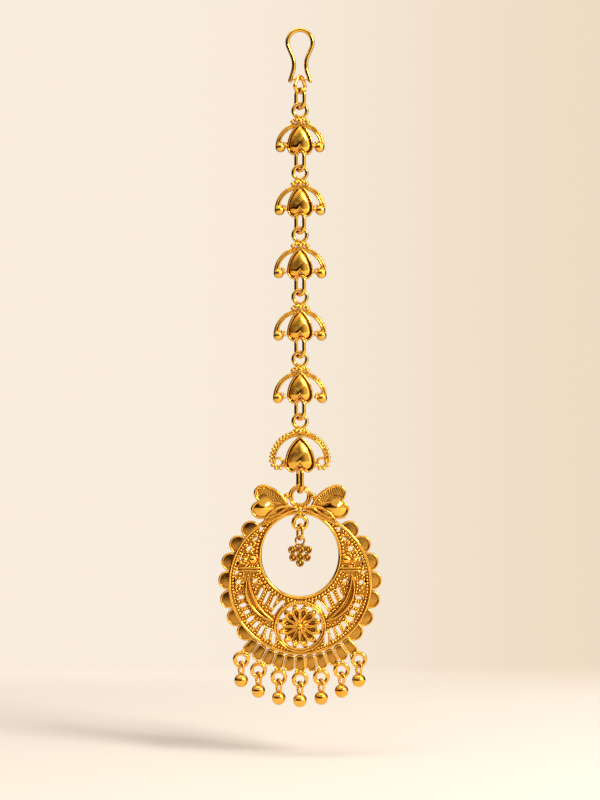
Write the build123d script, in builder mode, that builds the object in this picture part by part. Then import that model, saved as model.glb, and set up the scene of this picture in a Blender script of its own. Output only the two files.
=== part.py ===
"""Maang tikka: hair hook, chain of openwork plaques, crescent pendant with seven ball drops.

Millimetres, +Z up, the front faces -Y. The origin is the inside top of the hook's loop, where the
jewel hangs. Every flat motif is drawn as (x, z) on the upright XZ plane and is as deep as its
front and back values say. Soldered metal is one solid, and pieces that hang keep a small gap.
"""

import os
from math import cos, radians, sin

from build123d import *

os.makedirs("parts", exist_ok=True)

# ---------------------------------------------------------------- driving dimensions
GAP = 0.06  # play between two hanging wires
SLACK = 0.2  # the same where a turned link hangs in a round ring
CLEARANCE = 0.08  # cut round a link where it passes a cast plate
SINK = 0.1  # how deep a soldered or raised form is sunk in what it stands on
THROUGH = 2.0  # reach of a cut that runs past both faces of a plaque

# Hair hook: an open omega of round wire, with one thin cross pin that holds the top link
HOOK_WIRE = 0.44  # radius
HOOK_LOOP = 2.77  # loop radius at the wire's centre
HOOK_PINCH = 24  # degrees that the loop runs on past its widest point
HOOK_NECK = (1.0, -6.95)  # corner that the leg bends round
HOOK_END = (2.2, -10.75)
HOOK_BEND = 5.0  # radius of that bend
PIN_RADIUS = 0.2
PIN_HEIGHT = -10.5
PIN_PLAY = 0.1  # between the pin and the top of the turned top link

# Links
TOP_WIRE = 0.38
TOP_LINK_TURN = 46  # degrees about Z
TOP_LINK_WIDTH = 1.6  # half width at the wire's centre, at the pear's round end
TOP_LINK_TIP = 0.9  # radius of the pear's tip
TOP_LINK_TIP_ARC = 62  # degrees of that tip on each side
TOP_LINK_BOTTOM = -13.37
TWIST_LINK_TURN = -50
TWIST_LINK_WIDTH = 1.4
LINK_WIRE = 0.4
LINK_WIDTH = 1.35
LINK_TURN = -50
PENDANT_LINK_WIRE = 0.42
PENDANT_LINK_WIDTH = 1.25
PENDANT_LINK_TURN = -70

# Plaques: heights are measured from the centre of the plaque's top ring
FIRST_RING = -17.34
PITCH = 13.67
RING_RADIUS = 1.5
RING_WIRE = 0.4
PLATE = 0.4  # half thickness of the cast plate
HEART_TOP = -2.86
HEART_LENGTH = 6.94
HEART_WIDTH = 2.85  # half width
HEART_POINTS = (  # from the heart's point to its notch, as shares of half width and length
    (0, 0),
    (0.71, 0.33),
    (1, 0.75),
    (0.83, 0.925),
    (0.5, 1),
    (0.2, 0.955),
    (0, 0.86),
)
RIM_RISE = 0.22  # how far the heart's rim stands above the plate
RIM_WIDTH = 0.42
RIM_POINT = 0.67  # the rim's width at the heart's point, along its length
RIM_LENGTH = 1.09  # how much shorter the recess is than the heart
DOME_RISE = 0.9
DOME_TOP = 0.6  # the dome's highest point, as a share of its length from the point
DOME_REACH = 0.52  # share of the length over which the dome falls to nothing
ARCH_TOP = -2.6  # top of the arch that spans the heart
ARCH_WIRE = 0.31  # radius of its two edge wires
ARCH_WIRES_IN = (0.32, 0.76)  # how far their centres lie inside the arch's edge
ARCH_PLATE_IN = (0.12, 0.92)  # the same for the edges of the plate between them
ARCH_PLATE_THINNER = 0.05  # how far that plate lies below the cast plate's faces
ARCH_FOOT = 0.1  # how far the plate runs on below the arch's centre
EYE_HEIGHT = -8.85  # the slot in the notch that the next link passes
EYE_SIZE = (1.9, 1.0)
EYE_PLATE = 1.02  # radius of the plate round that slot
EYE_ROOM = 4.0  # length of the room for the next link's bow
BALL = 1.1
BALL_LOW = 0.05  # how far the end balls sit below the arch's centre
INNER_GRAIN = (1.3, 0.17, 0.5)  # inward of the ball, above the arch's centre, and radius
COLLAR = ((0.85, -2.05, 0.42), (1.65, -2.5, 0.45))  # x, height and radius of the grains
KNOB = 0.6  # grain below the ring, in the middle
KNOB_HEIGHT = -2.35
COLLAR_DEPTH = 0.1
PLAQUE_WIDTHS = (5.4, 5.6, 5.8, 5.85, 5.95)  # half widths, top to bottom
BEADED_HEART_TOP = -3.15
BEADED_HEART_LENGTH = 8.15
BEADED_HEART_WIDTH = 3.35
BEADED_ARCH_HEIGHT = -8.7
BEADED_ARCH = 6.4  # radius of the row of beads
BEADED_EYE_HEIGHT = -10.3
BEAD = 0.45
ARCH_BEADS = 10  # beads on each side of the arch
ARCH_BEAD_STEP = 8  # degrees, from level upward
SCROLL = (4.75, -9.0, 0.95)  # x, height and radius of the ring that the arch curls into
SCROLL_WIRE = 0.31
SCROLL_BEAD_ORBIT = 1.5
SCROLL_BEADS = (-28, -68, -108, -148)  # degrees above level, round the scroll

# Pendant
BAIL_HEIGHT = -102.3
BAIL_RADII = (2.31, 1.81)  # two rings of wire, side by side
BAIL_WIRE = 0.29
KNOT_HEIGHT = -105.1
KNOT = 0.6
KNOT_DEPTH = 0.2
KNOT_GRAINS = ((3.0, -102.1, 0.55), (3.5, -102.85, 0.5), (1.1, -104.7, 0.45))  # x, height, radius
OPENING_HEIGHT = -115.2
OPENING = (8.45, 9.0)  # half width and half height
RIM = 0.77  # width of the opening's rim
BORDER_HEIGHT = -121.35
BORDER = 15.5  # radius of the pierced crescent's border wire
BORDER_WIRE = 0.36
FRONT = 0.3  # depth of the pierced plate in front of the middle plane
BACK = 0.5  # and behind it
FRAME_BACK = 0.47
SCALE_BACK = 0.44
RELIEF = 0.75  # front of the rims and frames
DISC = 2.05
DISC_RING = 15.95  # radius that the coins stand on
DISC_ANGLES = (43, 58, 73, 88, 103, 118, 132)  # degrees from the top
DISC_FACE = 0.0
DISC_EDGE = 0.2
DISC_RIM = 0.28
PETAL_COUNT = 11
PETAL_STEP = 7.6
PETAL_RING = 17.75
PETAL = (2.45, 3.7)
PETAL_ROUND = 1.05
ROSETTE_HEIGHT = -130.9
ROSETTE_FRAME = (4.8, 5.75)  # inner and outer radius
ROSETTE_SEAT = 0.3  # how far the plate ends outside the frame's inner edge
ROSETTE_PETALS = 12
ROSETTE_TIP = (4.05, 0.84)  # distance of a petal's round tip, and its radius
ROSETTE_DEPTH = (0.25, 0.45)  # behind and in front of the middle plane
ROSETTE_BEAD = 0.75
DROP_RING_ANGLES = (-37.5, -25.5, -12.7, 0, 12.7, 25.5, 37.5)  # degrees from straight down
DROP_RING_ORBIT = 21.25
DROP_RING = 1.4
DROP_RING_WIRE = 0.45
SOLDER = 0.5

# Drops
DROP_EYE_WIRE = 0.3
DROP_EYE_WIDTH = 1.05
DROP_EYE_TURN = -62
DROP_BALL = 1.5
DROP_LENGTH = 4.5  # from the ring's centre to the ball's
CHARM_RING_HEIGHT = -108.0
CHARM_RING = 1.42
CHARM_RING_WIRE = 0.475
CHARM_LINK_WIDTH = 1.1
CHARM_LINK_TURN = -62
CHARM_EYE_HEIGHT = -111.9
CHARM_EYE = 0.95
CHARM_EYE_WIRE = 0.22
CHARM_CUP = 0.9
CHARM_CUP_WIRE = 0.24
CHARM_BEAD = 0.4
CHARM_BEAD_DEPTH = 0.05
CHARM_FLOOR = 0.24  # thickness of a cup's floor
CHARM_FLOOR_BEHIND = 0.1
CHARM_HEIGHT = -114.05
CHARM_CUPS = (  # x, height from the charm's middle cup
    (0, 0),
    (1.75, 0.05),
    (-1.75, 0.05),
    (1.5, -1.6),
    (-1.5, -1.6),
    (0, -1.45),
    (0, -2.8),
)
CHARM_SHOULDER = (0.75, 0.87, 0.45)  # x, height and radius of the two upper grains

# Tables of the pierced work, for the right half. Heights are from the border's centre.
OUTER_SLOTS = (  # polar angle below level, radius, length, slope below level
    (13.6, 13.45, 1.5, 8),
    (21.3, 13.45, 1.5, 17),
    (28.7, 13.45, 1.6, 27),
    (36.0, 13.5, 1.7, 38),
    (43.6, 13.5, 1.95, 50),
    (50.8, 13.45, 2.2, 62),
    (57.6, 13.25, 2.65, 75),
    (64.4, 13.4, 3.0, 89),
)
OUTER_SLOT_WIDTH = 0.82
INNER_SLOTS = (  # x, height, length, width; each leans outward at its foot
    (8.75, -2.3, 2.7, 0.55),
    (7.35, -3.2, 2.8, 0.55),
    (5.9, -4.15, 2.8, 0.6),
    (4.35, -5.1, 2.5, 0.75),
)
INNER_SLOT_LEAN = 25
ROUND_HOLES = (  # x, height, radius
    (8.5, 11.9, 0.45),
    (9.9, 9.9, 0.5),
    (11.2, 7.6, 0.5),
    (13.3, 5.3, 0.4),
    (13.9, 2.4, 0.35),
    (13.5, 0.2, 0.45),
    (9.9, 0.5, 0.4),
)
BLADE = ((11.35, 1.9), (10.15, -4.6), (5.9, -8.2))  # start, middle and end of the middle line
BLADE_SWELL = 1.3
BLADE_BACK = 0.4
BLADE_FRONT = 1.0
LEAF = ((0.5, -105.0), (4.5, -105.75), (8.2, -108.6))  # start, middle and end of the middle line
LEAF_SWELL = 1.9
LEAF_BACK = 0.38
LEAF_FRONT = 0.65
BOSSES = (  # x, height, radius
    (10.3, 5.15, 1.0),
    (12.1, 5.05, 0.65),
    (12.0, 0.9, 0.5),
)
BARS = (2.75, 3.35)  # heights of the two cross bars beside the bosses
BAR_MIDDLE = 11.0
BAR_LENGTH = 4.9
BAR_WIDTH = 0.36

# The wing is a heart that lies on its side, with its point at the knot
WING_POINT = (2.3, -104.5)
WING_TILT = 10
WING_LENGTH = 8.3
WING_WIDTH = 3.85
WING_BACK = 0.4
WING_FRONT = 0.75
WING_RECESS = 0.35
WING_RIM = (0.9, 1.5, 0.55)  # what the rim takes from the recess's point, length, half width
WING_BOSS = (7.9, -104.4, 1.75, -0.3)  # x, height, radius, and depth of the ball's centre

UPRIGHT = Plane.XZ  # local x is X, local y is Z, and its normal points to the front


def turned_plane(turn, x=0.0, height=0.0):
    """An upright plane turned about Z, with its origin at (x, 0, height)."""
    angle = radians(turn)
    return Plane(
        origin=(x, 0, height),
        x_dir=(cos(angle), sin(angle), 0),
        z_dir=(sin(angle), -cos(angle), 0),
    )


def save(part, label):
    """Label a finished piece and write it to its own file."""
    part.label = label
    export_step(part, f"parts/{label}.step")


def heart_face(plane, length, width):
    """A flat heart on the given plane, its point at the origin and its lobes below."""
    with BuildSketch(plane) as heart:
        with BuildLine():
            for side in (1, -1):
                points = [(side * across * width, -down * length) for across, down in HEART_POINTS]
                for start in (0, 2, 4):
                    ThreePointArc(*points[start : start + 3])
        make_face()
    return heart.sketch


def heart_dome(plane, length, width, rise):
    """A puffed heart: the heart's prism under a ball that stands proud of the plane by rise."""
    reach = DOME_REACH * length
    radius = (reach**2 + rise**2) / (2 * rise)
    middle = plane.origin + plane.y_dir * (-DOME_TOP * length) - plane.z_dir * (radius - rise)
    prism = extrude(heart_face(plane, length, width), amount=rise + SINK, mode=Mode.PRIVATE)
    return prism & Pos(middle.X, middle.Y, middle.Z) * Sphere(radius, mode=Mode.PRIVATE)


def link_loop(plane, top, bottom, width, wire):
    """An oval loop of round wire on the given plane, from height top to height bottom."""
    with BuildPart() as loop:
        with BuildLine(plane):
            leg = Line((width, bottom + width), (width, top - width))
            ThreePointArc(leg @ 1, (0, top), (-width, top - width))
            Line((-width, top - width), (-width, bottom + width))
            ThreePointArc((-width, bottom + width), (0, bottom), leg @ 0)
        with BuildSketch(Plane(origin=leg @ 0, z_dir=leg % 0)):
            Circle(wire)
        sweep()
    return loop.part


def wire_ring(x, height, radius, wire, depth=0.0):
    """A round ring that faces the front, added to the piece that is being built."""
    with Locations((x, -depth, height)):
        Torus(radius, wire, rotation=(90, 0, 0))


def grain(x, height, radius, depth=0.0):
    """A solder grain or bead, added to the piece that is being built."""
    with Locations((x, -depth, height)):
        Sphere(radius)


def ring_height(index):
    """Height of the centre of plaque number index's top ring, counted from 0."""
    return FIRST_RING - index * PITCH


# ---------------------------------------------------------------- hair hook
with BuildPart() as hair_hook:
    with BuildLine(UPRIGHT):
        crown = CenterArc(
            (0, HOOK_WIRE - HOOK_LOOP), HOOK_LOOP, start_angle=90, arc_size=-90 - HOOK_PINCH
        )
        FilletPolyline(crown @ 1, HOOK_NECK, HOOK_END, radius=HOOK_BEND)
    with BuildSketch(Plane(origin=crown @ 0, z_dir=crown % 0)):
        Circle(HOOK_WIRE)
    sweep()
    grain(HOOK_END[0], HOOK_END[1], HOOK_WIRE)
    mirror(about=Plane.YZ)
    with Locations((0, 0, PIN_HEIGHT)):
        Cylinder(PIN_RADIUS, 2 * HOOK_END[0] - HOOK_WIRE, rotation=(0, 90, 0))
save(hair_hook.part, "hair_hook")

# ---------------------------------------------------------------- pear link and twisted link
pear_top = PIN_HEIGHT + PIN_RADIUS + PIN_PLAY + TOP_WIRE
pear_mid = TOP_LINK_BOTTOM + TOP_LINK_WIDTH
pear_plane = turned_plane(TOP_LINK_TURN)
with BuildPart() as top_link:
    with BuildLine(pear_plane):
        tip = CenterArc((0, pear_top - TOP_LINK_TIP), TOP_LINK_TIP, 90, -TOP_LINK_TIP_ARC)
        TangentArc(tip @ 1, (TOP_LINK_WIDTH, pear_mid), tangent=tip % 1)
        CenterArc((0, pear_mid), TOP_LINK_WIDTH, 0, -90)
    with BuildSketch(Plane(origin=tip @ 0, z_dir=tip % 0)):
        Circle(TOP_WIRE)
    sweep(transition=Transition.ROUND)
    mirror(about=Plane(origin=(0, 0, 0), z_dir=pear_plane.x_dir))
save(top_link.part, "top_link")

twist_top = TOP_LINK_BOTTOM + 2 * TOP_WIRE + GAP
twist_bottom = FIRST_RING + RING_RADIUS - RING_WIRE - TOP_WIRE - SLACK
twist_plane = turned_plane(TWIST_LINK_TURN)
save(link_loop(twist_plane, twist_top, twist_bottom, TWIST_LINK_WIDTH, TOP_WIRE), "twist_link")


# ---------------------------------------------------------------- leaf plaques
def heart_plane(height):
    """The plate's back at the heart's point, facing the front."""
    return Plane(origin=(0, PLATE, height), x_dir=(1, 0, 0), z_dir=(0, -1, 0))


def heart_relief(plane, length, width):
    """A raised rim round a recess, with a puffed heart in it, on a cast plate. It is added to the
    piece that is being built. The plane is the back of the plate, at the heart's point."""
    extrude(heart_face(plane, length, width), amount=2 * PLATE + RIM_RISE)
    floor = plane.offset(2 * PLATE)
    floor.origin -= plane.y_dir * RIM_POINT
    inner_length, inner_width = length - RIM_LENGTH, width - RIM_WIDTH
    recess = heart_face(floor, inner_length, inner_width)
    extrude(recess, amount=2 * RIM_RISE, mode=Mode.SUBTRACT)
    seat = floor.offset(-SINK)
    seat.origin -= plane.y_dir * SINK
    add(heart_dome(seat, inner_length - 2 * SINK, inner_width - SINK, DOME_RISE + SINK))


def arch_band(base, height, outer):
    """The arch over the heart: a flat band edged by two wires. Added to the current piece."""
    half = PLATE - ARCH_PLATE_THINNER
    with BuildSketch(UPRIGHT.offset(-half), mode=Mode.PRIVATE) as band:
        with Locations((0, base + height)):
            Circle(outer - ARCH_PLATE_IN[0])
            Circle(outer - ARCH_PLATE_IN[1], mode=Mode.SUBTRACT)
        with Locations((0, base + height - outer - ARCH_FOOT)):
            Rectangle(3 * outer, 2 * outer, mode=Mode.SUBTRACT)
    extrude(band.sketch, amount=2 * half)
    for inset in ARCH_WIRES_IN:
        with Locations((0, 0, base + height)):
            Torus(outer - inset, ARCH_WIRE, major_angle=180, rotation=(90, 0, 0), align=None)


def link_eye(height, turn, width, wire):
    """A small plate in the notch, with the slot and the room that the next link's bow needs."""
    with BuildSketch(UPRIGHT.offset(-PLATE), mode=Mode.PRIVATE) as bridge:
        with Locations((0, height)):
            Circle(EYE_PLATE)
    extrude(bridge.sketch, amount=2 * PLATE - ARCH_PLATE_THINNER)
    with BuildSketch(UPRIGHT.offset(-THROUGH), mode=Mode.PRIVATE) as slot:
        with Locations((0, height)):
            SlotOverall(EYE_SIZE[0], EYE_SIZE[1])
    extrude(slot.sketch, amount=2 * THROUGH, mode=Mode.SUBTRACT)
    room = link_loop(turned_plane(turn), height, height - EYE_ROOM, width, wire + CLEARANCE)
    add(room, mode=Mode.SUBTRACT)


def collar(base):
    """The plaque's top ring and the grains that carry it. Added to the current piece."""
    wire_ring(0, base, RING_RADIUS, RING_WIRE)
    for x, height, radius in COLLAR:
        for side in (1, -1):
            grain(side * x, base + height, radius, COLLAR_DEPTH)
    grain(0, base + KNOB_HEIGHT, KNOB, COLLAR_DEPTH)


def leaf_plaque(base, width):
    """Ring, collar grains, domed heart in its rim, arch of two wires and two end balls."""
    arch_height = ARCH_TOP - width
    ball_x = width - BALL
    inward, above, inner_radius = INNER_GRAIN
    with BuildPart() as plaque:
        heart_relief(heart_plane(base + HEART_TOP), HEART_LENGTH, HEART_WIDTH)
        arch_band(base, arch_height, width)
        link_eye(base + EYE_HEIGHT, LINK_TURN, LINK_WIDTH, LINK_WIRE)
        collar(base)
        for side in (1, -1):
            grain(side * ball_x, base + arch_height - BALL_LOW, BALL)
            grain(side * (ball_x - inward), base + arch_height + above, inner_radius)
    return plaque.part


for index, plaque_width in enumerate(PLAQUE_WIDTHS):
    save(leaf_plaque(ring_height(index), plaque_width), f"leaf_plaque_{index + 1}")


# ---------------------------------------------------------------- beaded plaque
def beaded_plaque(base):
    """The last, larger plaque: its arch is edged with beads and curls into a small scroll."""
    plane = heart_plane(base + BEADED_HEART_TOP)
    eye_height = base + BEADED_EYE_HEIGHT
    with BuildPart() as plaque:
        heart_relief(plane, BEADED_HEART_LENGTH, BEADED_HEART_WIDTH)
        arch_band(base, BEADED_ARCH_HEIGHT, BEADED_ARCH)
        link_eye(eye_height, PENDANT_LINK_TURN, PENDANT_LINK_WIDTH, PENDANT_LINK_WIRE)
        collar(base)
        for side in (1, -1):
            with BuildSketch(UPRIGHT.offset(-SCROLL_WIRE), mode=Mode.PRIVATE) as scroll:
                with Locations((side * SCROLL[0], base + SCROLL[1])):
                    Circle(SCROLL[2] + SCROLL_WIRE)
                    Circle(SCROLL[2] - SCROLL_WIRE, mode=Mode.SUBTRACT)
            extrude(scroll.sketch, amount=2 * SCROLL_WIRE)
            for step in range(ARCH_BEADS):
                angle = radians(step * ARCH_BEAD_STEP)
                height = base + BEADED_ARCH_HEIGHT + BEADED_ARCH * sin(angle)
                grain(side * BEADED_ARCH * cos(angle), height, BEAD, COLLAR_DEPTH)
            for angle in SCROLL_BEADS:
                x = SCROLL[0] + SCROLL_BEAD_ORBIT * cos(radians(angle))
                height = SCROLL[1] + SCROLL_BEAD_ORBIT * sin(radians(angle))
                grain(side * x, base + height, BEAD)
    return plaque.part


save(beaded_plaque(ring_height(5)), "beaded_plaque")

# ---------------------------------------------------------------- links between the plaques
link_plane = turned_plane(LINK_TURN)
for index in range(5):
    link_top = ring_height(index) + EYE_HEIGHT
    link_bottom = ring_height(index + 1) + RING_RADIUS - RING_WIRE - LINK_WIRE - SLACK
    link = link_loop(link_plane, link_top, link_bottom, LINK_WIDTH, LINK_WIRE)
    save(link, f"chain_link_{index + 1}")

bail_top = BAIL_HEIGHT + (BAIL_RADII[0] + BAIL_RADII[1]) / 2  # the pendant swings about this
bail_half = (BAIL_RADII[0] - BAIL_RADII[1]) / 2 + BAIL_WIRE
pendant_link = link_loop(
    turned_plane(PENDANT_LINK_TURN),
    ring_height(5) + BEADED_EYE_HEIGHT,
    bail_top - bail_half - PENDANT_LINK_WIRE - GAP,
    PENDANT_LINK_WIDTH,
    PENDANT_LINK_WIRE,
)
save(pendant_link, "pendant_link")


# ---------------------------------------------------------------- pendant
def layer(face, back, front, mode=Mode.ADD):
    """A flat drawing made into a prism from back to front, added to the piece or cut from it."""
    extrude(face.moved(Location((0, back, 0))), amount=back + front, mode=mode)


def both_sides(x, height):
    """The place of a feature and of its mirror image, measured from the border's centre."""
    return (x, BORDER_HEIGHT + height), (-x, BORDER_HEIGHT + height)


def polar(radius, from_down):
    """A point on a circle round the border's centre, by its angle from straight down."""
    angle = radians(from_down)
    return radius * sin(angle), BORDER_HEIGHT - radius * cos(angle)


def pierced_plate():
    """The crescent's plate with its opening, slots and round holes cut through."""
    with BuildSketch(UPRIGHT) as plate:
        with Locations((0, BORDER_HEIGHT)):
            Circle(BORDER)
        with Locations((0, OPENING_HEIGHT)):
            Ellipse(OPENING[0] + RIM / 2, OPENING[1] + RIM / 2, mode=Mode.SUBTRACT)
        with Locations((0, ROSETTE_HEIGHT)):
            Circle(ROSETTE_FRAME[0] + ROSETTE_SEAT, mode=Mode.SUBTRACT)
        for angle, radius, length, slope in OUTER_SLOTS:
            x, height = radius * cos(radians(angle)), -radius * sin(radians(angle))
            for place, turn in zip(both_sides(x, height), (-slope, slope)):
                with Locations(place):
                    SlotOverall(length, OUTER_SLOT_WIDTH, rotation=turn, mode=Mode.SUBTRACT)
        for x, height, length, width in INNER_SLOTS:
            lean = 90 - INNER_SLOT_LEAN
            for place, turn in zip(both_sides(x, height), (-lean, lean)):
                with Locations(place):
                    SlotOverall(length, width, rotation=turn, mode=Mode.SUBTRACT)
        for x, height, radius in ROUND_HOLES:
            with Locations(*both_sides(x, height)):
                Circle(radius, mode=Mode.SUBTRACT)
    return plate.sketch


def frames():
    """Everything that stands above the plate: the opening's rim, rosette frame and cross bars."""
    with BuildSketch(UPRIGHT) as raised:
        with Locations((0, OPENING_HEIGHT)):
            Ellipse(OPENING[0] + RIM, OPENING[1] + RIM)
            Ellipse(*OPENING, mode=Mode.SUBTRACT)
        with Locations((0, ROSETTE_HEIGHT)):
            Circle(ROSETTE_FRAME[1])
            Circle(ROSETTE_FRAME[0], mode=Mode.SUBTRACT)
        for height in BARS:
            with Locations(*both_sides(BAR_MIDDLE, height)):
                SlotOverall(BAR_LENGTH, BAR_WIDTH)
    return raised.sketch


def crescent(start, middle, end, swell):
    """A blade: two arcs that share their ends, the outer one bowed out further by swell."""
    start, middle, end = Vector(*start), Vector(*middle), Vector(*end)
    bow = (middle - (start + end) / 2).normalized() * (swell / 2)
    with BuildSketch(UPRIGHT) as blade:
        with BuildLine():
            ThreePointArc(start, middle + bow, end)
            ThreePointArc(start, middle - bow, end)
        make_face()
    return blade.sketch


def scales(inset):
    """The round coins at each side and the narrow petals along the bottom, smaller by inset."""
    with BuildSketch(UPRIGHT) as row:
        for angle in DISC_ANGLES:
            with Locations(polar(DISC_RING, 180 - angle), polar(DISC_RING, angle - 180)):
                Circle(DISC - inset)
        for index in range(PETAL_COUNT):
            angle = (index - (PETAL_COUNT - 1) / 2) * PETAL_STEP
            with Locations(polar(PETAL_RING, angle)):
                RectangleRounded(
                    PETAL[0] - 2 * inset, PETAL[1] - 2 * inset, PETAL_ROUND - inset, rotation=angle
                )
    return row.sketch


def rosette_face():
    """Twelve spoon petals that meet in the middle and touch the frame with their tips."""
    reach, tip = ROSETTE_TIP
    first = 180 / ROSETTE_PETALS
    with BuildSketch(UPRIGHT) as rosette:
        with Locations((0, ROSETTE_HEIGHT)):
            Circle(ROSETTE_BEAD)
            with PolarLocations(reach, ROSETTE_PETALS, start_angle=first):
                Circle(tip)
            with PolarLocations(0, ROSETTE_PETALS, start_angle=first):
                Polygon((0, 0), (reach, tip), (reach, -tip), align=None)
    return rosette.sketch


def wing_plane(side):
    """The plane of a wing's heart, its point at the knot and its lobes outward."""
    tilt = radians(WING_TILT)
    return Plane(
        origin=(side * WING_POINT[0], WING_BACK, WING_POINT[1]),
        x_dir=(-sin(tilt), 0, side * cos(tilt)),
        z_dir=(0, -1, 0),
    )


def wing(side):
    """A heart on its side: raised rim, recessed plate and a domed boss."""
    plane = wing_plane(side)
    thickness = WING_BACK + WING_FRONT
    extrude(heart_face(plane, WING_LENGTH, WING_WIDTH), amount=thickness)
    floor = plane.offset(thickness - WING_RECESS)
    point, shorter, narrower = WING_RIM
    floor.origin -= plane.y_dir * point
    recess = heart_face(floor, WING_LENGTH - shorter, WING_WIDTH - narrower)
    extrude(recess, amount=2 * WING_RECESS, mode=Mode.SUBTRACT)
    x, height, radius, depth = WING_BOSS
    grain(side * x, height, radius, depth)


with BuildPart() as pendant:
    layer(scales(0), SCALE_BACK, DISC_EDGE)
    layer(scales(DISC_RIM), -DISC_FACE, RELIEF, Mode.SUBTRACT)
    layer(pierced_plate(), BACK, FRONT)
    layer(frames(), FRAME_BACK, RELIEF)
    layer(rosette_face(), *ROSETTE_DEPTH)
    for side in (1, -1):
        points = [(side * x, BORDER_HEIGHT + height) for x, height in BLADE]
        layer(crescent(*points, BLADE_SWELL), BLADE_BACK, BLADE_FRONT)
        leaf = [(side * x, height) for x, height in LEAF]
        layer(crescent(*leaf, LEAF_SWELL), LEAF_BACK, LEAF_FRONT)
        wing(side)
    wire_ring(0, BORDER_HEIGHT, BORDER, BORDER_WIRE, FRONT)
    for radius in BAIL_RADII:
        wire_ring(0, BAIL_HEIGHT, radius, BAIL_WIRE)
    wire_ring(0, CHARM_RING_HEIGHT, CHARM_RING, CHARM_RING_WIRE)
    for angle in DROP_RING_ANGLES:
        x, height = polar(DROP_RING_ORBIT, angle)
        wire_ring(x, height, DROP_RING, DROP_RING_WIRE)
        grain(*polar(DROP_RING_ORBIT - DROP_RING - SOLDER / 2, angle), SOLDER)
    for x, height, radius in BOSSES:
        for place in both_sides(x, height):
            grain(*place, radius, FRONT)
    for x, height, radius in KNOT_GRAINS:
        for side in (1, -1):
            grain(side * x, height, radius)
    grain(0, KNOT_HEIGHT, KNOT, KNOT_DEPTH)
    grain(0, ROSETTE_HEIGHT, ROSETTE_BEAD, ROSETTE_DEPTH[1])
save(pendant.part, "pendant")

# ---------------------------------------------------------------- flower charm
charm_link = link_loop(
    turned_plane(CHARM_LINK_TURN),
    CHARM_RING_HEIGHT - CHARM_RING + CHARM_RING_WIRE + DROP_EYE_WIRE + SLACK,
    CHARM_EYE_HEIGHT + CHARM_EYE - CHARM_EYE_WIRE - DROP_EYE_WIRE - SLACK,
    CHARM_LINK_WIDTH,
    DROP_EYE_WIRE,
)
save(charm_link, "charm_link")

with BuildPart() as flower_charm:
    wire_ring(0, CHARM_EYE_HEIGHT, CHARM_EYE, CHARM_EYE_WIRE)
    for x, height in CHARM_CUPS:
        wire_ring(x, CHARM_HEIGHT + height, CHARM_CUP - CHARM_CUP_WIRE, CHARM_CUP_WIRE)
        with Locations((x, CHARM_FLOOR_BEHIND, CHARM_HEIGHT + height)):
            Cylinder(CHARM_CUP - CHARM_CUP_WIRE, CHARM_FLOOR, rotation=(90, 0, 0))
        grain(x, CHARM_HEIGHT + height, CHARM_BEAD, CHARM_BEAD_DEPTH)
    for side in (1, -1):
        grain(side * CHARM_SHOULDER[0], CHARM_HEIGHT + CHARM_SHOULDER[1], CHARM_SHOULDER[2])
save(flower_charm.part, "flower_charm")

# ---------------------------------------------------------------- ball drops
for index, angle in enumerate(DROP_RING_ANGLES):
    x, height = polar(DROP_RING_ORBIT, angle)
    eye_plane = turned_plane(DROP_EYE_TURN, x, height)
    eye_top = -DROP_RING + DROP_RING_WIRE + DROP_EYE_WIRE + SLACK
    eye_bottom = -DROP_LENGTH + DROP_BALL - 2 * SINK
    eye = link_loop(eye_plane, eye_top, eye_bottom, DROP_EYE_WIDTH, DROP_EYE_WIRE)
    with BuildPart() as ball_drop:
        add(eye)
        grain(x, height - DROP_LENGTH, DROP_BALL)
    save(ball_drop.part, f"ball_drop_{index + 1}")
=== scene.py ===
"""Looks of a gold-plated maang tikka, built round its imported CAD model.

The tables are in millimetres on the jewel's upright plane: x to the right, z up, and y towards the
back, so that the front has negative y. Heights are measured from datums taken from the frame.
"""

import bpy
import numpy as np
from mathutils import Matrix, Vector


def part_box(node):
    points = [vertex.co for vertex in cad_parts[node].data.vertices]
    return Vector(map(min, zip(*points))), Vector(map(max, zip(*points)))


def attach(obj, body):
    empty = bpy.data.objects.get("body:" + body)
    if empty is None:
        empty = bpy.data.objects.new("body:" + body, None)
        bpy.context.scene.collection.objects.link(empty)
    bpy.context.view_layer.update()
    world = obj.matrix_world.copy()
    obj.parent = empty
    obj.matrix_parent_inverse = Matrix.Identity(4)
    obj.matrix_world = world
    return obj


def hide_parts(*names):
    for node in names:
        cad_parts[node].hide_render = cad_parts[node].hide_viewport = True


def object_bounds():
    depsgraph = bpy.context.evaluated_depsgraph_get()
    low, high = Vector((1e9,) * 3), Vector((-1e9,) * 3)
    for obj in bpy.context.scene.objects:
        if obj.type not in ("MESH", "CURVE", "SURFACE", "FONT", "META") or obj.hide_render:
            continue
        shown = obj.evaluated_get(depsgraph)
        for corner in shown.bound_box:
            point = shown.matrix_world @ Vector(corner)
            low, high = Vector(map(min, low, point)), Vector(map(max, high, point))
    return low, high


bl_info = {
    "name": "Maang tikka looks",
    "version": (1, 0, 0),
    "blender": (4, 5, 0),
    "location": "3D View > Sidebar > Tikka",
    "description": "Granulation, wires, leaf and flower relief and gold finishes of a maang tikka",
    "category": "Object",
}

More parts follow.
